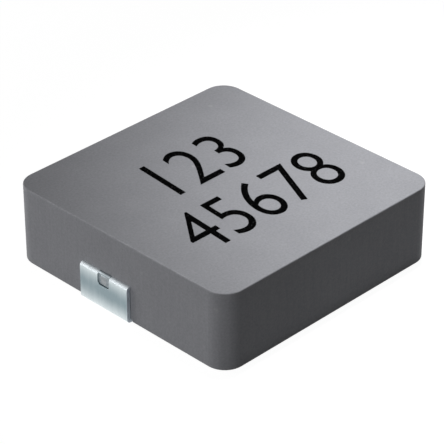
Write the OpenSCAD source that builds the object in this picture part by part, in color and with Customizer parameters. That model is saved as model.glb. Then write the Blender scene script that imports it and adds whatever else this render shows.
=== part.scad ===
// Shielded power inductor for surface mounting: a pressed iron-powder body around a flat-wire coil.
// X runs from terminal to terminal, Y along the width and Z up. The origin is in the middle of
// the footprint, on the plane that the solder feet stand on. All sizes are in millimetres.

/* [Body] */
// Length and width of the square moulded body
body_side = 12.6; // [12.3:0.1:15]
// Height of the moulded body by itself
body_height = 3.7; // [3.3:0.01:5]
// Radius of the four upright corners
corner_radius = 0.95; // [0.4:0.05:2]
// Radius of the edges around the top and around the underside
edge_radius = 0.05; // [0.02:0.01:0.3]
// Gap that the solder feet keep between the body and the board
standoff = 0.04; // [0.02:0.01:0.12]

/* [Terminals] */
// Width of the tinned copper strip
strip_width = 2.85; // [2:0.05:4]
// Thickness of the strip
strip_thickness = 0.15; // [0.13:0.01:0.22]
// Inside radius of both folds, and the gap that they leave behind the leg
fold_radius = 0.05; // [0.03:0.01:0.1]
// Height of the strip's upper face where it leaves the body
strip_top = 1.78; // [1.5:0.01:2]
// Distance of both terminals from the centre line, along Y
terminal_offset = 0.6; // [0.45:0.05:1.5]
// Length of strip that is held inside the body
tongue_length = 0.65; // [0.4:0.05:0.9]
// Powder between the inner end of that strip and the coil
tongue_gap = 0.3; // [0.25:0.01:0.5]
// Length of each solder foot, with the fold at its outer end
foot_length = 2.3; // [1:0.1:4]
// Play around each foot in its recess in the underside
recess_play = 0.1; // [0.05:0.01:0.3]

/* [Wire joints] */
// Width of the slot in the strip that takes the end of the wire
slot_width = 0.64; // [0.5:0.02:1]
// Radius of the two lower corners of the slot
slot_corner = 0.15; // [0.05:0.01:0.2]
// Solder above and below the wire in its slot
joint_film = 0.02; // [0.01:0.01:0.05]
// Depth of the solder's face behind the face of the leg
solder_recess = 0.1; // [0.05:0.01:0.12]
// Radius of the solder's upper edge
solder_edge = 0.06; // [0.03:0.01:0.07]

/* [Winding] */
// Thickness of the flat enamelled wire, from the axis outwards
wire_thickness = 0.34; // [0.24:0.01:0.35]
// Height of the flat wire, along the axis
wire_height = 0.54; // [0.4:0.01:0.6]
// Bonding film between neighbouring turns and between the two layers
turn_film = 0.04; // [0.02:0.01:0.05]
// Half turns in the lower layer, and the upper layer has two more
lower_half_turns = 13; // [7, 9, 11, 13, 15]
// Radius of the bend that turns each end of the wire outwards, to its middle
tail_bend = 0.4; // [0.25:0.01:0.42]
// Least gap between the crossover, where its slope ends, and the turns around it
crossover_gap = 0.02; // [0.01:0.01:0.1]

/* [Hidden] */
$fn = 96;

// Overrun of cutting shapes past the faces they cut
over = 1;
// Straight pieces in each quarter turn of a sloping run of wire
slope_steps = 12;

// Body
body_face = body_side / 2;
straight_half = body_face - corner_radius;

// Terminals, each built on the +X side
fold_outer = fold_radius + strip_thickness;
leg_inner = body_face + fold_radius;
leg_outer = body_face + fold_outer;
tongue_end = body_face - tongue_length;
tongue_bottom = strip_top - strip_thickness;
strip_start = terminal_offset - strip_width / 2;
foot_end = leg_outer - foot_length;

// Layers of the winding, as heights of the wire's lower edge
lower_level = strip_top - joint_film - wire_height;
upper_level = lower_level + wire_height + turn_film;
turn_pitch = wire_thickness + turn_film;
upper_half_turns = lower_half_turns + 2;
// Each half turn swaps to a centre beside the axis, so that the half turns join into a spiral
centre_shift = turn_pitch / 4;
// The outermost half turn stays inside the tongues of the terminals
outer_lane = tongue_end - tongue_gap - wire_thickness / 2 - centre_shift;
inner_lane = outer_lane - (upper_half_turns - 1) * turn_pitch / 2;
// The crossover leaves the upper layer and reaches the lower one between these angles
slope_start = 50;
slope_end = 130;
// Half-way it lies this much nearer to the axis than at its ends
crossover_dip = (wire_thickness + crossover_gap - turn_pitch + centre_shift * (1 - cos(slope_end)))
    / pow(sin(slope_end), 2);
// Beside a sloping run the powder stays out of the narrow gap towards the other turns
slope_room = wire_thickness;

// Joints between wire and strip
slot_bottom = lower_level - joint_film;
solder_face = leg_outer - solder_recess;
wire_end = solder_face - solder_edge;

// Radius of the half turn of that number, counted outwards from the innermost one
function lane_radius(number) = inner_lane + number * turn_pitch / 2;

// Goes from 0 to 1 with a level start and finish as t does, and holds outside them
function ease(t) = let(u = min(max(t, 0), 1)) u * u * (3 - 2 * u);

// Height of a run of wire that slopes from the upper layer to the lower one
function slope_level(t) = upper_level + (lower_level - upper_level) * ease(t);

// Stations of the crossover: angle, distance from the axis and height
crossover_path = [
    for (step = [0 : 2 * slope_steps])
        let(angle = 90 * step / slope_steps)
        [
            angle,
            inner_lane - centre_shift - crossover_dip * pow(sin(angle), 2),
            slope_level((angle - slope_start) / (slope_end - slope_start))
        ]
];

// Stations of the last quarter of the outermost upper turn, which comes down to the terminal
descent_path = [
    for (step = [0 : slope_steps])
        [270 - 90 * step / slope_steps, outer_lane, slope_level(step / slope_steps)]
];

// The whole moulded block without its cavities, corner by corner and side by side
module block() {
    translate([-straight_half, -straight_half, standoff])
        cube([2 * straight_half, 2 * straight_half, body_height]);
    for (quarter = [0 : 3])
        rotate([0, 0, 90 * quarter]) {
            translate([straight_half, straight_half, standoff])
                rotate_extrude(start = 0, angle = 90)
                    edge_profile();
            translate([straight_half, straight_half, standoff])
                rotate([90, 0, 0])
                    linear_extrude(2 * straight_half)
                        edge_profile();
        }
}

// Section through the rim of the block, from its straight part outwards
module edge_profile() {
    square([corner_radius - edge_radius, body_height]);
    translate([0, edge_radius])
        square([corner_radius, body_height - 2 * edge_radius]);
    for (height = [edge_radius, body_height - edge_radius])
        translate([corner_radius - edge_radius, height])
            circle(edge_radius);
}

// Even half turns lie on the -Y side, from 180 degrees on, and odd ones on the +Y side
function half_start(number) = number % 2 == 0 ? 180 : 0;

// Centre of a half turn along X
function half_shift(number, layer) = (number % 2 == 0 ? -1 : 1) * layer * centre_shift;

// A bar of wire height bent round the Z axis, between two radii, over part of a turn
module arc_bar(inner, outer, start, angle, level, height) {
    translate([0, 0, level])
        rotate_extrude(start = start, angle = angle)
            translate([inner, 0])
                square([outer - inner, height]);
}

// Every second half turn of a layer, from the first to the last, as one bar without gaps.
// The layer is 1 for the upper one and -1 for the lower one.
module half_turns(first, last, layer, height) {
    translate([half_shift(first, layer), 0, 0])
        arc_bar(
            lane_radius(first) - wire_thickness / 2,
            lane_radius(last) + wire_thickness / 2,
            half_start(first), 180, layer > 0 ? upper_level : lower_level, height
        );
}

// Wire swept through stations of angle, radius and height, with spare room inwards or outwards
module sloping_wire(path, inwards = 0, outwards = 0) {
    inner = -wire_thickness / 2 - inwards;
    outer = wire_thickness / 2 + outwards;
    section = [[inner, 0], [outer, 0], [outer, wire_height], [inner, wire_height]];
    last = 4 * (len(path) - 1);
    corners = [
        for (station = path)
            for (corner = section)
                [
                    (station[1] + corner[0]) * cos(station[0]),
                    (station[1] + corner[0]) * sin(station[0]),
                    station[2] + corner[1]
                ]
    ];
    // Each face is listed as a path that turns clockwise needs it
    faces = concat(
        [[0, 1, 2, 3]],
        [
            for (ring = [0 : 4 : last - 4])
                for (corner = [0 : 3])
                    let(a = ring + corner, b = ring + (corner + 1) % 4)
                    each [[a, b + 4, b], [a, a + 4, b + 4]]
        ],
        [[last + 3, last + 2, last + 1, last]]
    );
    clockwise = path[len(path) - 1][0] < path[0][0];
    polyhedron(corners, clockwise ? faces : [for (face = faces) reversed(face)]);
}

// The same list from its last entry to its first
function reversed(list) = [for (i = [len(list) - 1 : -1 : 0]) list[i]];

// End of the wire on the +X side: it leaves the coil along +Y and turns out through the slot
module tail(start_x) {
    run = terminal_offset - tail_bend;
    translate([start_x - wire_thickness / 2, 0, lower_level])
        cube([wire_thickness, run, wire_height]);
    translate([start_x + tail_bend, run, 0])
        arc_bar(
            tail_bend - wire_thickness / 2,
            tail_bend + wire_thickness / 2,
            90, 90, lower_level, wire_height
        );
    translate([start_x + tail_bend, terminal_offset - wire_thickness / 2, lower_level])
        cube([wire_end - start_x - tail_bend, wire_thickness, wire_height]);
}

// Both ends of the wire
module tails() {
    mirror([1, 0, 0])
        tail(outer_lane + centre_shift);
    tail(lane_radius(lower_half_turns - 1) + centre_shift);
}

// Flat part of the outermost upper turn, before it slopes down
module last_quarter(inwards = 0) {
    translate([-centre_shift, 0, 0])
        arc_bar(
            outer_lane - wire_thickness / 2 - inwards,
            outer_lane + wire_thickness / 2,
            270, 90, upper_level, wire_height
        );
}

// Flat wire wound as two spiral layers from one length, with both ends on the outside
module winding() {
    color("#b87333") {
        for (number = [0 : upper_half_turns - 2])
            half_turns(number, number, 1, wire_height);
        for (number = [0 : lower_half_turns - 1])
            half_turns(number, number, -1, wire_height);
        sloping_wire(crossover_path);
        last_quarter();
        translate([-centre_shift, 0, 0])
            sloping_wire(descent_path);
        tails();
    }
}

// Room that the powder leaves for the winding when it is pressed around it
module winding_space() {
    half_turns(0, upper_half_turns - 3, 1, wire_height);
    half_turns(1, upper_half_turns - 2, 1, wire_height);
    half_turns(0, lower_half_turns - 1, -1, wire_height + turn_film);
    half_turns(1, lower_half_turns - 2, -1, wire_height + turn_film);
    sloping_wire(crossover_path, outwards = slope_room);
    last_quarter(slope_room);
    translate([-centre_shift, 0, 0])
        sloping_wire(descent_path, inwards = slope_room);
    tails();
}

// Slot outline across the strip, open at the top
module slot_outline() {
    flank = slot_width / 2 - slot_corner;
    translate([-slot_width / 2, slot_bottom + slot_corner])
        square([slot_width, strip_top - slot_bottom]);
    translate([-flank, slot_bottom])
        square([2 * flank, slot_corner]);
    for (side = [-1, 1])
        translate([side * flank, slot_bottom + slot_corner])
            circle(slot_corner);
}

// Slot outline as a bar along X
module slot_bar(from_x, to_x) {
    translate([from_x, terminal_offset, 0])
        rotate([90, 0, 90])
            linear_extrude(to_x - from_x)
                slot_outline();
}

// One fold of the strip, a quarter turn about the Y direction
module fold(height, start) {
    translate([body_face, strip_start + strip_width, height])
        rotate([90, 0, 0])
            rotate_extrude(start = start, angle = 90)
                translate([fold_radius, 0])
                    square([strip_thickness, strip_width]);
}

// Forked tongue, leg and foot of the +X terminal, folded from one slotted strip
module terminal() {
    color("silver")
        difference() {
            union() {
                translate([tongue_end, strip_start, tongue_bottom])
                    cube([tongue_length, strip_width, strip_thickness]);
                fold(strip_top - fold_outer, 0);
                translate([leg_inner, strip_start, fold_outer])
                    cube([strip_thickness, strip_width, strip_top - 2 * fold_outer]);
                fold(fold_outer, 270);
                translate([foot_end, strip_start, 0])
                    cube([body_face - foot_end, strip_width, strip_thickness]);
            }
            slot_bar(tongue_end - over, leg_outer + over);
        }
}

// Solder around the wire, in the fork of the tongue and in the slot of the leg
module solder() {
    color("gainsboro")
        difference() {
            union() {
                translate([tongue_end, terminal_offset - slot_width / 2, tongue_bottom])
                    cube([tongue_length, slot_width, strip_thickness]);
                intersection() {
                    slot_bar(body_face, solder_face);
                    translate([0, terminal_offset + slot_width, 0])
                        rotate([90, 0, 0])
                            linear_extrude(2 * slot_width)
                                solder_profile();
                }
            }
            tails();
        }
}

// Side view of the solder outside the body, with its upper edge rounded
module solder_profile() {
    translate([body_face, 0])
        square([solder_face - body_face, strip_top - solder_edge]);
    translate([body_face, 0])
        square([wire_end - body_face, strip_top]);
    translate([wire_end, strip_top - solder_edge])
        circle(solder_edge);
}

// Pressed and sealed powder body, with its cavities and the recesses for the feet
module body() {
    color("dimgray")
        difference() {
            block();
            winding_space();
            for (side = [0, 1])
                mirror([side, 0, 0]) {
                    translate([tongue_end, strip_start, tongue_bottom])
                        cube([tongue_length + over, strip_width, strip_thickness]);
                    translate([foot_end - recess_play, strip_start - recess_play, 0])
                        cube([foot_length + over, strip_width + 2 * recess_play, strip_thickness]);
                }
        }
}

module terminal_right() {
    terminal();
}

module terminal_left() {
    mirror([1, 0, 0])
        terminal();
}

module solder_right() {
    solder();
}

module solder_left() {
    mirror([1, 0, 0])
        solder();
}

body();
winding();
terminal_left();
terminal_right();
solder_left();
solder_right();
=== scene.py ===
# %% [markdown]
# # A shielded power inductor on white paper
# The part is a square block of pressed iron powder, 12.6 mm wide, with a flat copper coil
# inside it. Two tinned copper strips leave its sides and fold under it to be soldered.
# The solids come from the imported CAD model, in metres and at their real size. This lesson
# adds what they lack: finishes, softly rounded sheet metal, solder, a printed marking and a
# small studio.

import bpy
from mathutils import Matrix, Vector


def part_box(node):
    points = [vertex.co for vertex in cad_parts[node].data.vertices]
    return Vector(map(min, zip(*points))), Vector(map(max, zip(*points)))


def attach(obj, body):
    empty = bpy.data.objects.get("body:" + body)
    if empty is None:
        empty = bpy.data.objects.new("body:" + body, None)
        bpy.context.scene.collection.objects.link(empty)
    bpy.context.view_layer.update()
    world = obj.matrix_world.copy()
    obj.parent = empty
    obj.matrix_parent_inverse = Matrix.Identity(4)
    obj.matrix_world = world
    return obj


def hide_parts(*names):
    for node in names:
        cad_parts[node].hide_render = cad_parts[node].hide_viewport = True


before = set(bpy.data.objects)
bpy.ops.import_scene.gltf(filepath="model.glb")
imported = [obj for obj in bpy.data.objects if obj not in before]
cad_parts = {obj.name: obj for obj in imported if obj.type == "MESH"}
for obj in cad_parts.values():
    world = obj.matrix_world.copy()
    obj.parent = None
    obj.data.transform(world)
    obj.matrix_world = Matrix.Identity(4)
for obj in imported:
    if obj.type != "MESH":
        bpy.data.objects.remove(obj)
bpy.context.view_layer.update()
print("solids:", sorted(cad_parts))

# %% [markdown]
# ## Places come from the frame
# Blender works in metres and this part in tenths of a millimetre, so lengths are written in
# millimetres and multiplied by `mm`. The boxes of the solids give the places of everything
# that is added: nothing is placed by eye. All pieces keep their place in their mesh, and
# their objects stay at the origin.

# %% Units and the boxes of the solids
import math

import bpy
from mathutils import Matrix, Vector

mm = 0.001
body_low, body_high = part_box("body")
strip_low, strip_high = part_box("terminal_left")
joint_low, joint_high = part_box("solder_left")
body_centre = (body_low + body_high) / 2
print("block, mm:", *(round(side / mm, 3) for side in body_high - body_low))

# %% [markdown]
# ## The camera
# A long lens from a tenth of a metre keeps the upright edges of the block almost parallel,
# as in a catalogue picture of a small component. Two angles and a distance give its place,
# so the view can be turned by changing one number.

# %% Camera
view_azimuth = math.radians(-45.18)
view_elevation = math.radians(32.1)
view_distance = 96.93 * mm
aim_right = -0.095 * mm
aim_up = -0.142 * mm
lens_length = 183.9
film_width = 36

towards_camera = Vector((
    math.sin(view_azimuth) * math.cos(view_elevation),
    -math.cos(view_azimuth) * math.cos(view_elevation),
    math.sin(view_elevation),
))
right = Vector((math.cos(view_azimuth), math.sin(view_azimuth), 0))
away = Vector((-math.sin(view_azimuth), math.cos(view_azimuth), 0))
up = towards_camera.cross(right)
aim = body_centre + right * aim_right + up * aim_up

bpy.ops.object.camera_add(location=aim + towards_camera * view_distance)
camera = bpy.context.object
camera.name = "camera"
camera.rotation_euler = towards_camera.to_track_quat("Z", "Y").to_euler()
camera.data.sensor_width = film_width
camera.data.lens = lens_length
camera.data.clip_start = 1 * mm
bpy.context.scene.camera = camera
bpy.context.scene.view_settings.view_transform = "Standard"
print("camera, mm:", *(round(place / mm, 1) for place in camera.location))

# %% [markdown]
# ## Helpers for shader nodes
# A material is a small network of nodes. Two helpers keep the network readable: one makes
# an empty material, and one adds a node, sets it up and plugs values or other nodes into it.

# %% Node helpers
def new_material(name):
    """An empty node material and its tree."""
    material = bpy.data.materials.new(name)
    material.use_nodes = True
    material.node_tree.nodes.clear()
    print("finish:", name)
    return material, material.node_tree


def add_node(tree, kind, inputs=None, **settings):
    """A node with its settings, and with values or links in its inputs."""
    node = tree.nodes.new(kind)
    for key, value in settings.items():
        setattr(node, key, value)
    for key, value in (inputs or {}).items():
        if isinstance(value, bpy.types.NodeSocket):
            tree.links.new(value, node.inputs[key])
        else:
            node.inputs[key].default_value = value
    return node


def surface(tree, shader):
    """Makes that shader the material's surface."""
    add_node(tree, "ShaderNodeOutputMaterial", {"Surface": shader.outputs[0]})


# %% [markdown]
# ## Paper and surroundings
# The part lies on white paper that runs out of the picture. For the camera, and in
# reflections, paper and surroundings are plain white, and the paper still takes a shadow.
# For the soft light that they throw back at the part they are grey card, or the shaded side
# of the block would lose its depth. The Light Path node tells these rays apart.

# %% White paper
white = (1, 1, 1, 1)
paper_glow = 0.95
paper_shade = 0.15
card_shade = 0.16
room_shade = 0.107


def grey(level):
    """A grey colour between black, 0, and white, 1."""
    return level, level, level, 1


def seen_directly(tree):
    """1 for camera rays, mirror rays and rays through glass, and 0 for the rest."""
    path = add_node(tree, "ShaderNodeLightPath")
    first = add_node(tree, "ShaderNodeMath", {
        0: path.outputs["Is Camera Ray"],
        1: path.outputs["Is Glossy Ray"],
    }, operation="MAXIMUM")
    return add_node(tree, "ShaderNodeMath", {
        0: first.outputs[0],
        1: path.outputs["Is Transmission Ray"],
    }, operation="MAXIMUM").outputs[0]


paper, tree = new_material("white_paper")
glow = add_node(tree, "ShaderNodeEmission", {"Color": white, "Strength": paper_glow})
shade = add_node(tree, "ShaderNodeBsdfDiffuse", {"Color": grey(paper_shade)})
shown = add_node(tree, "ShaderNodeAddShader", {0: glow.outputs[0], 1: shade.outputs[0]})
card = add_node(tree, "ShaderNodeBsdfDiffuse", {"Color": grey(card_shade)})
surface(tree, add_node(tree, "ShaderNodeMixShader", {
    0: seen_directly(tree), 1: card.outputs[0], 2: shown.outputs[0],
}))

bpy.ops.mesh.primitive_plane_add(size=4, location=(0, 0, 0))
floor = bpy.context.object
floor.name = "floor"
floor.data.materials.append(paper)
print("paper:", round(floor.dimensions.x, 1), "m wide")

# %% Surroundings
studio = bpy.data.worlds.new("studio")
bpy.context.scene.world = studio
studio.use_nodes = True
tree = studio.node_tree
tree.nodes.clear()
level = add_node(tree, "ShaderNodeMix", {
    "Factor": seen_directly(tree), "A": room_shade, "B": 1.0,
}, data_type="FLOAT")
sky = add_node(tree, "ShaderNodeBackground", {
    "Color": white, "Strength": level.outputs["Result"],
})
add_node(tree, "ShaderNodeOutputWorld", {"Surface": sky.outputs[0]})
print("surroundings:", room_shade, "for soft light, 1.0 for the camera")

# %% [markdown]
# ## Lamps
# A spot hangs almost overhead, behind the plane of the shaded side, and is aimed past the
# right-hand corner: its feathered edge makes the top grow lighter from left to right. The
# side with the terminal gets its light from two soft lamps, one straight in front of it and
# one further back. Together they let the rounded corner darken evenly, where one lamp would
# leave a hard turn. A weak lamp behind keeps the far side readable.

# %% Lamps
def add_lamp(name, kind, place, target, power, **settings):
    """A lamp at a place, turned to a target."""
    bpy.ops.object.light_add(type=kind, location=place)
    lamp = bpy.context.object
    lamp.name = name
    lamp.rotation_euler = (place - target).to_track_quat("Z", "Y").to_euler()
    lamp.data.energy = power
    for key, value in settings.items():
        setattr(lamp.data, key, value)
    print(name, "at", *(round(side / mm) for side in place), "mm")


top_centre = Vector((0, 0, body_high.z))
spot_place = top_centre + (right * 5 + away * 12) * mm + Vector((0, 0, 100)) * mm
spot_aim = top_centre + right * 15.2 * mm
add_lamp("overhead_spot", "SPOT", spot_place, spot_aim, 0.529,
         spot_size=math.radians(28), spot_blend=0.9, shadow_soft_size=6 * mm)

# Each soft lamp's name, place in mm, power in watts, and width and height in mm
soft_lamps = (
    ("side_softbox", (-92, 0, 25), 0.0264, 40, 40),
    ("left_softbox", (-46, 80, 25), 0.0329, 60, 40),
    ("rear_fill", (100, 50, 25), 0.012, 60, 30),
)
for name, place, power, width, height in soft_lamps:
    add_lamp(name, "AREA", Vector(place) * mm, body_centre, power,
             shape="RECTANGLE", size=width * mm, size_y=height * mm)

# %% [markdown]
# ## Effects that several finishes share
# Grain, drawing lines, rubbed edges with a painted highlight, and dust are seen on more than
# one material of this part. Each is a node group: it is built once, has named inputs and
# outputs, and is placed in every material with values of its own. The groups read the place
# on the piece in millimetres, so a pattern keeps its real size on large and small pieces
# alike.

# %% Group helpers
def new_group(name, inputs, outputs):
    """A shader node group. Its tree is returned with the sockets that its inputs give."""
    group = bpy.data.node_groups.new(name, "ShaderNodeTree")
    print("group:", name, "takes", ", ".join(inputs))
    for title, kind in inputs.items():
        group.interface.new_socket(title, in_out="INPUT", socket_type="NodeSocket" + kind)
    for title in outputs:
        group.interface.new_socket(title, in_out="OUTPUT", socket_type="NodeSocketFloat")
    return group, group.nodes.new("NodeGroupInput").outputs


def give(group, results):
    """Plugs the results into the outputs of a group."""
    output = group.nodes.new("NodeGroupOutput")
    for title, socket in results.items():
        group.links.new(socket, output.inputs[title])


def use(tree, group, inputs):
    """Places a group in a material and returns its outputs."""
    return add_node(tree, "ShaderNodeGroup", inputs, node_tree=group).outputs


def math_node(tree, operation, *values, **settings):
    """A Math node's result for values or links."""
    return add_node(
        tree, "ShaderNodeMath", dict(enumerate(values)), operation=operation, **settings
    ).outputs[0]


def vector_node(tree, operation, *values):
    """A Vector Math node's result for values or links."""
    return add_node(
        tree, "ShaderNodeVectorMath", dict(enumerate(values)), operation=operation
    ).outputs[0]


def scaled_by(tree, place, factor):
    """A place multiplied by one number."""
    return add_node(
        tree, "ShaderNodeVectorMath", {0: place, "Scale": factor}, operation="SCALE"
    ).outputs[0]


def map_range(tree, value, from_min, from_max, to_min=0.0, to_max=1.0, **settings):
    """A value moved from one range to another and held at its ends."""
    return add_node(tree, "ShaderNodeMapRange", {
        "Value": value, "From Min": from_min, "From Max": from_max,
        "To Min": to_min, "To Max": to_max,
    }, **settings).outputs[0]


def in_millimetres(tree):
    """The place on the piece, in millimetres."""
    place = add_node(tree, "ShaderNodeTexCoord")
    return scaled_by(tree, place.outputs["Object"], 1 / mm)


# %% Fine grain
# Rounded grains with small pores between them, for pressed powder and for what lies on it
fine_grain, given = new_group(
    "fine_grain", {"Vector": "Vector", "Grains per mm": "Float"}, ("Tone", "Height"))
scaled = scaled_by(fine_grain, given["Vector"], given["Grains per mm"])
cloud = add_node(fine_grain, "ShaderNodeTexNoise", {
    "Vector": scaled, "Scale": 1.0, "Detail": 3.0, "Roughness": 0.55,
}).outputs[0]
cells = add_node(fine_grain, "ShaderNodeTexVoronoi", {
    "Vector": scaled, "Scale": 0.8,
}, feature="SMOOTH_F1").outputs["Distance"]
give(fine_grain, {
    "Tone": cloud,
    "Height": math_node(fine_grain, "SUBTRACT", cloud, math_node(
        fine_grain, "MULTIPLY", cells, 0.5)),
})

# %% Drawing lines
# Fine lines along one direction, which a die or a roll leaves on what slides through it
drawing_lines, given = new_group(
    "drawing_lines", {"Vector": "Vector", "Lines per mm": "Vector"}, ("Tone",))
stretched = vector_node(
    drawing_lines, "MULTIPLY", given["Vector"], given["Lines per mm"])
give(drawing_lines, {"Tone": add_node(drawing_lines, "ShaderNodeTexNoise", {
    "Vector": stretched, "Scale": 1.0, "Detail": 4.0, "Roughness": 0.6,
}).outputs[0]})

# %% Rubbed edges and a painted highlight
# 1 along the edges of a box and 0 on its faces, broken up into patches. It marks rubbed wear
# and a painted highlight along the rim.
# On a face one of the three distances to the box is nought. Near an edge a second one is
# small too, so the middle one of the three tells how near the edge is.
edge_wear_and_highlight, given = new_group("edge_wear_and_highlight", {
    "Vector": "Vector", "Centre": "Vector", "Half Size": "Vector", "Width": "Float",
}, ("Mask",))
offset = vector_node(edge_wear_and_highlight, "SUBTRACT", given["Vector"], given["Centre"])
inside = vector_node(edge_wear_and_highlight, "SUBTRACT", given["Half Size"], vector_node(
    edge_wear_and_highlight, "ABSOLUTE", offset))
x, y, z = add_node(edge_wear_and_highlight, "ShaderNodeSeparateXYZ", {0: inside}).outputs
largest = math_node(edge_wear_and_highlight, "MAXIMUM", math_node(edge_wear_and_highlight, "MAXIMUM", x, y), z)
least = math_node(edge_wear_and_highlight, "MINIMUM", math_node(edge_wear_and_highlight, "MINIMUM", x, y), z)
total = math_node(edge_wear_and_highlight, "ADD", math_node(edge_wear_and_highlight, "ADD", x, y), z)
middle = math_node(edge_wear_and_highlight, "SUBTRACT", math_node(
    edge_wear_and_highlight, "SUBTRACT", total, largest), least)
nearness = math_node(edge_wear_and_highlight, "SUBTRACT", 1.0, math_node(
    edge_wear_and_highlight, "DIVIDE", middle, given["Width"]), use_clamp=True)
patches = add_node(edge_wear_and_highlight, "ShaderNodeTexNoise", {
    "Vector": given["Vector"], "Scale": 1.7, "Detail": 5.0, "Roughness": 0.65,
}).outputs[0]
broken = map_range(edge_wear_and_highlight, patches, 0.35, 0.65, interpolation_type="SMOOTHSTEP")
give(edge_wear_and_highlight, {"Mask": math_node(edge_wear_and_highlight, "MULTIPLY", nearness, broken)})

# %% Dust
# Few and small pale specks, each a round spot in a cell of its own
dust, given = new_group("dust", {"Vector": "Vector", "Specks per mm": "Float"}, ("Mask",))
scaled = scaled_by(dust, given["Vector"], given["Specks per mm"])
spots = add_node(dust, "ShaderNodeTexVoronoi", {"Vector": scaled, "Scale": 1.0})
spot = map_range(dust, spots.outputs["Distance"], 0.10, 0.03)
lucky = math_node(dust, "GREATER_THAN", add_node(
    dust, "ShaderNodeSeparateColor", {0: spots.outputs["Color"]}).outputs[0], 0.6)
give(dust, {"Mask": math_node(dust, "MULTIPLY", spot, lucky)})

# %% [markdown]
# ## Pressed powder
# The block is iron powder, mixed with a resin, pressed hard in a steel die and sealed. It is
# neither stone nor plastic: close up there are grains with pores between them, and the sides
# carry faint upright lines from sliding out of the die. The rim is a little paler, partly as
# rubbed wear and partly as a painted highlight. A picture could be laid over it, but nodes
# keep the grain sharp at any distance. The colour stays a mid grey: the tones of the sides
# are left to the lamps.

# %% Finish helpers
def mix_colours(tree, factor, first, second):
    """A colour between two, by a factor."""
    first_colour, second_colour = 6, 7  # the sockets of a Mix node that hold colours
    return add_node(tree, "ShaderNodeMix", {
        0: factor, first_colour: first, second_colour: second,
    }, data_type="RGBA").outputs[2]


def relief_of(tree, height, strength, depth):
    """A relief that only the light sees, with its depth in millimetres."""
    return add_node(tree, "ShaderNodeBump", {
        "Height": height, "Strength": strength, "Distance": depth * mm,
    }).outputs[0]


def dress(node_name, material):
    """Puts a finish on a CAD solid without touching its mesh."""
    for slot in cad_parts[node_name].material_slots:
        slot.link = "OBJECT"
        slot.material = material


# %% Powder finish
rim_width = 0.12
rim_strength = 0.35
dust_strength = 0.16
dust_grey = (0.5, 0.5, 0.49, 1)

powder, tree = new_material("pressed_powder")
place = in_millimetres(tree)
grain = use(tree, fine_grain, {"Vector": place, "Grains per mm": 11.0})
clouds = add_node(tree, "ShaderNodeTexNoise", {
    "Vector": place, "Scale": 0.55, "Detail": 3.0, "Roughness": 0.5,
}).outputs[0]
lines = use(tree, drawing_lines, {"Vector": place, "Lines per mm": (7.0, 7.0, 0.3)})
speckle = math_node(tree, "ADD", math_node(tree, "MULTIPLY", grain["Tone"], 0.5),
                    math_node(tree, "ADD", math_node(tree, "MULTIPLY", clouds, 0.25),
                              math_node(tree, "MULTIPLY", lines["Tone"], 0.25)))
colour = mix_colours(tree, map_range(tree, speckle, 0.38, 0.62),
                     (0.228, 0.231, 0.247, 1), (0.268, 0.271, 0.289, 1))
# The rim is made paler along the block's edges: partly rubbed wear and partly a painted
# highlight.
rim = use(tree, edge_wear_and_highlight, {
    "Vector": place, "Centre": body_centre / mm,
    "Half Size": (body_high - body_low) / 2 / mm, "Width": rim_width,
})
colour = mix_colours(tree, math_node(tree, "MULTIPLY", rim["Mask"], rim_strength),
                     colour, (0.36, 0.365, 0.38, 1))
specks = use(tree, dust, {"Vector": place, "Specks per mm": 0.7})
colour = mix_colours(tree, math_node(tree, "MULTIPLY", specks["Mask"], dust_strength),
                     colour, dust_grey)
surface(tree, add_node(tree, "ShaderNodeBsdfPrincipled", {
    "Base Color": colour,
    "Roughness": map_range(tree, grain["Tone"], 0.3, 0.7, 0.66, 0.54),
    "Specular IOR Level": 0.15,
    "Normal": relief_of(tree, grain["Height"], 0.5, 0.006),
}))
dress("body", powder)

# %% [markdown]
# ## Tin, bare edges and solder
# The strips are copper, coated with tin before they were cut. Their colour follows the height
# on the leg as a painted reflection: brighter towards the folds and greyer between them. The
# very bend gets a painted shade that dims its highlight. The cut edges are scored by the
# shear, solder is mottled where it froze, and the wire's end is smoother, with the lines of
# its cut. All are metals, so what they reflect does much of the work: an edge that faces away
# from the lamps looks dark with no dark colour on it.

# %% Metal helper
def metal(tree, colour, roughness, relief=None):
    """A metal surface. The metals differ only in colour, roughness and relief."""
    inputs = {"Base Color": colour, "Metallic": 1.0, "Roughness": roughness}
    if relief is not None:
        inputs["Normal"] = relief
    surface(tree, add_node(tree, "ShaderNodeBsdfPrincipled", inputs))


# %% Tin
# Heights in mm: where the painted reflection is darkest, a little above the middle of the
# leg, where the upper bend starts and where its painted shade is deepest. Then how fast the
# painted reflection brightens away from the middle, and how much rougher the tin is at the
# bend.
leg_half = (strip_high.z - strip_low.z) / 2 / mm
darkest_reflection_height = strip_low.z / mm + leg_half + 0.05
bend_starts = strip_high.z / mm - 0.19
bend_is_full = strip_high.z / mm - 0.08
reflection_growth = 1.8
bend_dullness = 0.16

tin, tree = new_material("tin")
place = in_millimetres(tree)
height = add_node(tree, "ShaderNodeSeparateXYZ", {0: place}).outputs[2]
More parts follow.
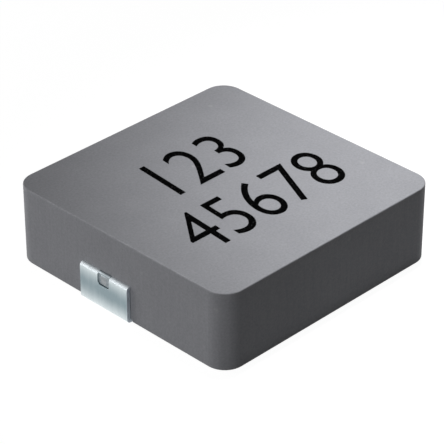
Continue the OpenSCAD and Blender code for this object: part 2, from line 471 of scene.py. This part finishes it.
# Painted reflection: the colour is darker a little above the middle of the leg and brighter
# towards the folds. The drawing lines and patches added to it are the tin's own streaks.
from_middle = math_node(tree, "DIVIDE", math_node(tree, "ABSOLUTE", math_node(
    tree, "SUBTRACT", height, darkest_reflection_height)), leg_half)
painted_reflection_and_streaks = math_node(tree, "POWER", from_middle, reflection_growth)
lines = use(tree, drawing_lines, {"Vector": place, "Lines per mm": (1.5, 12.0, 0.8)})
patchy = use(tree, drawing_lines, {"Vector": place, "Lines per mm": (1.0, 1.6, 0.9)})
painted_reflection_and_streaks = math_node(tree, "ADD", painted_reflection_and_streaks, map_range(
    tree, lines["Tone"], 0.2, 0.8, -0.07, 0.07))
painted_reflection_and_streaks = math_node(tree, "ADD", painted_reflection_and_streaks, map_range(
    tree, patchy["Tone"], 0.2, 0.8, -0.08, 0.08), use_clamp=True)
colour = mix_colours(tree, painted_reflection_and_streaks, (0.247, 0.312, 0.337, 1), (0.80, 0.86, 0.872, 1))
# Painted shade: over the upper bend the colour turns darker, to dim the highlight there. The
# same mask makes the bend rougher.
bend = map_range(tree, height, bend_starts, bend_is_full)
colour = mix_colours(tree, bend, colour, (0.42, 0.45, 0.47, 1))
roughness = math_node(
    tree, "ADD", map_range(tree, lines["Tone"], 0.3, 0.7, 0.30, 0.42),
    math_node(tree, "MULTIPLY", bend, bend_dullness))
metal(tree, colour, roughness, relief_of(tree, lines["Tone"], 0.3, 0.004))

# %% Bare edge
bare_edge, tree = new_material("bare_edge")
place = in_millimetres(tree)
scores = use(tree, drawing_lines, {"Vector": place, "Lines per mm": (9.0, 9.0, 9.0)})
tone = map_range(tree, scores["Tone"], 0.3, 0.7)
colour = mix_colours(tree, tone, (0.33, 0.37, 0.41, 1), (0.44, 0.48, 0.52, 1))
metal(tree, colour, map_range(tree, tone, 0.0, 1.0, 0.6, 0.75))

# %% Solder and the end of the wire
solder, tree = new_material("soft_solder")
place = in_millimetres(tree)
grain = use(tree, fine_grain, {"Vector": place, "Grains per mm": 7.0})
tone = map_range(tree, grain["Tone"], 0.3, 0.7)
colour = mix_colours(tree, tone, (0.215, 0.245, 0.263, 1), (0.295, 0.325, 0.342, 1))
metal(tree, colour, map_range(tree, tone, 0.0, 1.0, 0.52, 0.38),
      relief_of(tree, grain["Height"], 0.6, 0.012))
for side in ("left", "right"):
    dress("solder_" + side, solder)

wire_end, tree = new_material("wire_end")
place = in_millimetres(tree)
lines = use(tree, drawing_lines, {"Vector": place, "Lines per mm": (3.0, 3.0, 22.0)})
tone = map_range(tree, lines["Tone"], 0.3, 0.7)
colour = mix_colours(tree, tone, (0.232, 0.252, 0.264, 1), (0.316, 0.337, 0.349, 1))
metal(tree, colour, map_range(tree, tone, 0.0, 1.0, 0.32, 0.44),
      relief_of(tree, lines["Tone"], 0.4, 0.006))

# %% [markdown]
# ## Enamelled copper
# The coil is buried in the powder and never seen, but whoever opens the model should find
# copper wire there: warm metal under a clear amber enamel, with lines along the wire.

# %% Wire finish
enamelled, tree = new_material("enamelled_copper")
place = in_millimetres(tree)
lines = use(tree, drawing_lines, {"Vector": place, "Lines per mm": (0.6, 0.6, 14.0)})
clouds = use(tree, drawing_lines, {"Vector": place, "Lines per mm": (0.5, 0.5, 0.5)})
tone = math_node(tree, "ADD", math_node(tree, "MULTIPLY", lines["Tone"], 0.6),
                 math_node(tree, "MULTIPLY", clouds["Tone"], 0.4))
tone = map_range(tree, tone, 0.35, 0.65)
surface(tree, add_node(tree, "ShaderNodeBsdfPrincipled", {
    "Base Color": mix_colours(
        tree, tone, (0.42, 0.13, 0.045, 1), (0.62, 0.25, 0.09, 1)),
    "Metallic": 1.0,
    "Roughness": map_range(tree, tone, 0.0, 1.0, 0.28, 0.4),
    "Coat Weight": 0.7,
    "Coat Roughness": 0.12,
}))
dress("winding", enamelled)

# %% [markdown]
# ## Working in edit mode from code
# Operators act on what is selected, so each step says what it works on. One helper makes a
# piece the only selected object, and another selects vertices, edges or faces by where
# they are: an edge or face is chosen when all its corners pass the test.

# %% Edit-mode helpers
def work_alone(piece):
    """Makes one object the only selected and active one."""
    if bpy.context.mode != "OBJECT":
        bpy.ops.object.mode_set(mode="OBJECT")
    bpy.ops.object.select_all(action="DESELECT")
    piece.select_set(True)
    bpy.context.view_layer.objects.active = piece


def choose(piece, kind, wanted):
    """Selects the vertices, edges or faces of one piece whose corners all pass a test."""
    work_alone(piece)
    mesh = piece.data
    for group in (mesh.vertices, mesh.edges, mesh.polygons):
        group.foreach_set("select", [False] * len(group))
    if kind == "VERT":
        for vertex in mesh.vertices:
            vertex.select = wanted(vertex.co)
    else:
        for item in mesh.edges if kind == "EDGE" else mesh.polygons:
            item.select = all(wanted(mesh.vertices[i].co) for i in item.vertices)
    bpy.ops.object.mode_set(mode="EDIT")
    bpy.ops.mesh.select_mode(type=kind)


reach = 0.001 * mm


def near(first, second):
    """True for two lengths less than a micrometre apart."""
    return abs(first - second) < reach


def cut_through(place, normal):
    """Cuts the piece in edit mode along a plane. The usual tolerance is too wide here."""
    bpy.ops.mesh.select_all(action="SELECT")
    bpy.ops.mesh.bisect(plane_co=place, plane_no=normal, threshold=reach / 10)


def add_box(name, low, high):
    """A box between two corners, with its place in its mesh."""
    bpy.ops.object.select_all(action="DESELECT")
    bpy.ops.mesh.primitive_cube_add(size=1, location=(low + high) / 2, scale=high - low)
    bpy.ops.object.transform_apply()
    bpy.context.object.name = name
    return bpy.context.object


def add_modifier(piece, kind, **settings):
    """A modifier that is set up and applied at once."""
    work_alone(piece)
    modifier = piece.modifiers.new(kind.lower(), kind)
    for key, value in settings.items():
        setattr(modifier, key, value)
    bpy.ops.object.modifier_apply(modifier=modifier.name)


def mirrored(piece, name):
    """A copy with a mesh of its own, turned over to the other side of the part."""
    twin = piece.copy()
    twin.data = piece.data.copy()
    twin.name = name
    bpy.context.collection.objects.link(twin)
    twin.data.transform(Matrix.Diagonal((-1, 1, 1, 1)))
    choose(twin, "VERT", lambda p: True)
    bpy.ops.mesh.remove_doubles(threshold=0.0001 * mm)
    bpy.ops.mesh.normals_make_consistent(inside=False)
    bpy.ops.object.mode_set(mode="OBJECT")
    return twin


# %% [markdown]
# ## Terminals
# Each terminal is one strip of tinned copper. It could be cut out of a block, but the real
# one is stamped flat and folded, and so is this one. A flat sheet grows by extruding its
# edge, cuts and a few deleted panels leave the slot for the wire, a bevel rounds the two
# folds, and Solidify gives the sheet its thickness. Solidify also hands the new rim to the
# second material, so the cut edges get their own finish. Two touches come after that: the
# back of the leg is drawn out towards the block, because the real strip is pressed against
# it, and the walls of the slot are given the finish of the faces, because solder wets them.

# %% Flat sheet, grown edge by edge
strip_thickness = 0.15 * mm
fold_radius = 0.2 * mm
slot_corner = 0.15 * mm
tongue_end = joint_high.x

bpy.ops.object.select_all(action="DESELECT")
bpy.ops.mesh.primitive_plane_add(size=1, location=(
    (strip_low.x + tongue_end) / 2, (strip_low.y + strip_high.y) / 2, strip_high.z))
strip = bpy.context.object
strip.name = "left_strip"
strip.scale = (tongue_end - strip_low.x, strip_high.y - strip_low.y, 1)
bpy.ops.object.transform_apply()
choose(strip, "EDGE", lambda p: near(p.x, strip_low.x))
bpy.ops.mesh.extrude_region_move(
    TRANSFORM_OT_translate={"value": (0, 0, strip_low.z - strip_high.z)})
bpy.ops.mesh.extrude_region_move(
    TRANSFORM_OT_translate={"value": (strip_high.x - strip_low.x, 0, 0)})
print("sheet:", round((strip_high.y - strip_low.y) / mm, 2), "mm wide,",
      round(strip_thickness / mm, 2), "mm thick")

# %% Slot for the wire
# The slot is a little roomier than the wire's end, which leaves a dark gap under it. The
# sheet's panels are then dissolved into one face again, so that only the slot's own corners
# are rounded. The play beside and under the wire's end is in millimetres.
play_beside, play_under = 0.03, 0.02
slot_low = joint_low - Vector((0, play_beside, play_under)) * mm
slot_high = joint_high + Vector((0, play_beside, 0)) * mm
for side in (slot_low.y, slot_high.y):
    cut_through((0, side, 0), (0, 1, 0))
cut_through((0, 0, slot_low.z), (0, 0, 1))

choose(strip, "FACE", lambda p: (
    slot_low.y - reach < p.y < slot_high.y + reach and p.z > slot_low.z - reach))
bpy.ops.mesh.delete(type="FACE")
bpy.ops.mesh.select_all(action="SELECT")
bpy.ops.mesh.dissolve_limited(angle_limit=math.radians(1))
choose(strip, "VERT", lambda p: near(p.z, slot_low.z) and (
    near(p.y, slot_low.y) or near(p.y, slot_high.y)))
bpy.ops.mesh.bevel(offset=slot_corner, segments=6, affect="VERTICES")
print("slot, mm:", *(round(side / mm, 2) for side in (slot_high - slot_low).yz))

# %% Folds, thickness and soft edges
choose(strip, "EDGE", lambda p: near(p.x, strip_low.x) and (
    near(p.z, strip_high.z) or near(p.z, strip_low.z)))
bpy.ops.mesh.bevel(offset=fold_radius, segments=12, affect="EDGES")

# A cut just past each fold ends its shading there, and the rest of the face stays flat
fold_margin = 0.03 * mm
past_fold = fold_radius + fold_margin
cut_through((0, 0, strip_high.z - past_fold), (0, 0, 1))
cut_through((0, 0, strip_low.z + past_fold), (0, 0, 1))
cut_through((strip_low.x + past_fold, 0, 0), (1, 0, 0))

strip.data.materials.append(tin)
strip.data.materials.append(bare_edge)
add_modifier(strip, "SOLIDIFY", thickness=strip_thickness, offset=-1,
             use_even_offset=True, material_offset_rim=1)

# Only this share of the gap between the back of the leg and the block is kept
gap_kept = 0.2
choose(strip, "VERT", lambda p: (
    strip_low.x + strip_thickness - reach < p.x < body_low.x + reach
    and strip_low.z + strip_thickness - reach < p.z < strip_high.z - strip_thickness + reach))
bpy.ops.transform.resize(value=(gap_kept, 1, 1), center_override=(body_low.x, 0, 0))
bpy.ops.object.mode_set(mode="OBJECT")
bpy.ops.object.shade_smooth_by_angle(angle=math.radians(40))

# The walls of the slot go back to the first material
for polygon in strip.data.polygons:
    place = polygon.center
    if (place.x < body_low.x and slot_low.y - reach < place.y < slot_high.y + reach
            and place.z > slot_low.z - reach):
        polygon.material_index = 0
print("leg stands off the block by, mm:",
      round(gap_kept * (body_low.x - strip_low.x - strip_thickness) / mm, 3))

# %% Second strip, and burred edges
# Hardened normals keep the flat faces flat in the light beside their rounded edges
burr = 0.012 * mm
strips = {"left": strip, "right": mirrored(strip, "right_strip")}
for side, piece in strips.items():
    add_modifier(piece, "BEVEL", width=burr, segments=3, limit_method="ANGLE",
                 angle_limit=math.radians(50), harden_normals=True)
    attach(piece, "root")
    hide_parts("terminal_" + side)
print("strip:", len(strip.data.polygons), "faces")

# %% [markdown]
# ## Wire joints
# In the slot of each leg the end of the flat wire stands in solder. The solid there is a
# plain block, so a skin is laid over it: the wire's end stands a little proud, and the
# solder round it is drawn in. The skin starts as a box. Four cuts mark out the wire's end,
# which is inset and pulled forward, and a bevel turns the hard steps into a wetted surface.

# %% Skins over the joints
# The width of the wire's end, its rim of solder, and how far it is inset and stands proud.
# Then the skin's thickness, its seat in the block and its two roundings.
wire_width = 0.34 * mm
wire_rim = 0.05 * mm
wire_inset = 0.02 * mm
proud = 0.02 * mm
skin = 0.045 * mm
seat = 0.01 * mm
top_rounding = 0.1 * mm
wetting = 0.016 * mm
joint_middle = (joint_low.y + joint_high.y) / 2
face = joint_low.x - skin
joint = add_box(
    "left_joint",
    Vector((face, slot_low.y, joint_low.z)),
    Vector((body_low.x + seat, slot_high.y, joint_high.z + seat / 2)),
)
for side in (slot_low.y, slot_high.y):
    choose(joint, "EDGE", lambda p: near(p.z, joint_low.z) and near(p.y, side))
    bpy.ops.mesh.bevel(offset=slot_corner, segments=6, affect="EDGES")
choose(joint, "EDGE", lambda p: near(p.x, face) and p.z > joint_high.z)
bpy.ops.mesh.bevel(offset=top_rounding, segments=8, affect="EDGES")

wire_low = Vector((0, joint_middle - wire_width / 2, joint_low.z + wire_rim))
wire_high = Vector((0, joint_middle + wire_width / 2, joint_high.z - 2 * wire_rim))
for corner in (wire_low, wire_high):
    for normal in ((0, 1, 0), (0, 0, 1)):
        cut_through(corner, normal)


def on_wire(place):
    """True on the front of the joint where the wire's end is."""
    return (place.x < face + reach
            and wire_low.y - reach < place.y < wire_high.y + reach
            and wire_low.z - reach < place.z < wire_high.z + reach)


choose(joint, "FACE", on_wire)
bpy.ops.mesh.inset(thickness=wire_inset)
bpy.ops.transform.translate(value=(-proud, 0, 0))
add_modifier(joint, "BEVEL", width=wetting, segments=3, limit_method="ANGLE",
             angle_limit=math.radians(25))
bpy.ops.object.shade_smooth_by_angle(angle=math.radians(60))

joint.data.materials.append(solder)
joint.data.materials.append(wire_end)
for polygon in joint.data.polygons:
    if near(polygon.center.x, face - proud):
        polygon.material_index = 1

for piece in (joint, mirrored(joint, "right_joint")):
    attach(piece, "root")
print("joint:", len(joint.data.polygons), "faces")

# %% [markdown]
# ## Marking
# The top carries two rows of printed numbers. They are plain counting numbers here and name
# nothing. Ink could be painted in by a material, but text set as type is sharp, and its
# film of ink is a real thickness of a few micrometres. The type is thinned, narrowed and
# leaned over a little, and turned into a mesh before it is laid on the block. The ink is a
# dead matt black that follows the grains under it, and the tallest of them wear through.

# %% Ink
ink, tree = new_material("marking_ink")
place = in_millimetres(tree)
grain = use(tree, fine_grain, {"Vector": place, "Grains per mm": 11.0})
colour = mix_colours(tree, map_range(tree, grain["Tone"], 0.35, 0.6),
                     (0.0008, 0.0008, 0.0009, 1), (0.0028, 0.0028, 0.0029, 1))
colour = mix_colours(tree, map_range(tree, grain["Tone"], 0.64, 0.7),
                     colour, (0.04, 0.04, 0.042, 1))
surface(tree, add_node(tree, "ShaderNodeBsdfPrincipled", {
    "Base Color": colour,
    "Roughness": map_range(tree, grain["Tone"], 0.3, 0.7, 0.8, 0.95),
    "Specular IOR Level": 0.0,
    "Normal": relief_of(tree, grain["Height"], 0.4, 0.006),
}))

# %% Printed numbers
digit_height = 2.9 * mm
em_per_digit = 1 / 0.69
stroke_thinning = 0.007
digit_narrowing = 0.84
lean = 0.1
ink_film = 0.008 * mm
ink_sunk = 0.002 * mm
# Each row's numbers, the place of its middle along X and that of its baseline along Y
rows = (
    ("123", 0.15 * mm, 0.5 * mm),
    ("45678", 0.02 * mm, -3.47 * mm),
)


def print_row(text, middle, baseline):
    """A row of numbers as a thin mesh on the block, centred on a place along X."""
    bpy.ops.object.select_all(action="DESELECT")
    bpy.ops.object.text_add(location=(0, 0, 0))
    row = bpy.context.object
    row.data.body = text
    row.data.size = digit_height * em_per_digit
    row.data.offset = -stroke_thinning * row.data.size
    row.data.shear = lean
    row.data.extrude = ink_film / 2
    row.data.resolution_u = 8
    bpy.ops.object.convert(target="MESH")
    row.data.transform(Matrix.Diagonal((digit_narrowing, 1, 1, 1)))
    across = [vertex.co.x for vertex in row.data.vertices]
    row.data.transform(Matrix.Translation((
        middle - (min(across) + max(across)) / 2,
        baseline,
        body_high.z + ink_film / 2 - ink_sunk,
    )))
    row.data.materials.append(ink)
    return row


printed = [print_row(*row) for row in rows]
for name, piece in zip(("upper_numbers", "lower_numbers"), printed):
    piece.name = name
    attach(piece, "root")
    print(name, "mm:", *(round(side / mm, 2) for side in piece.dimensions))
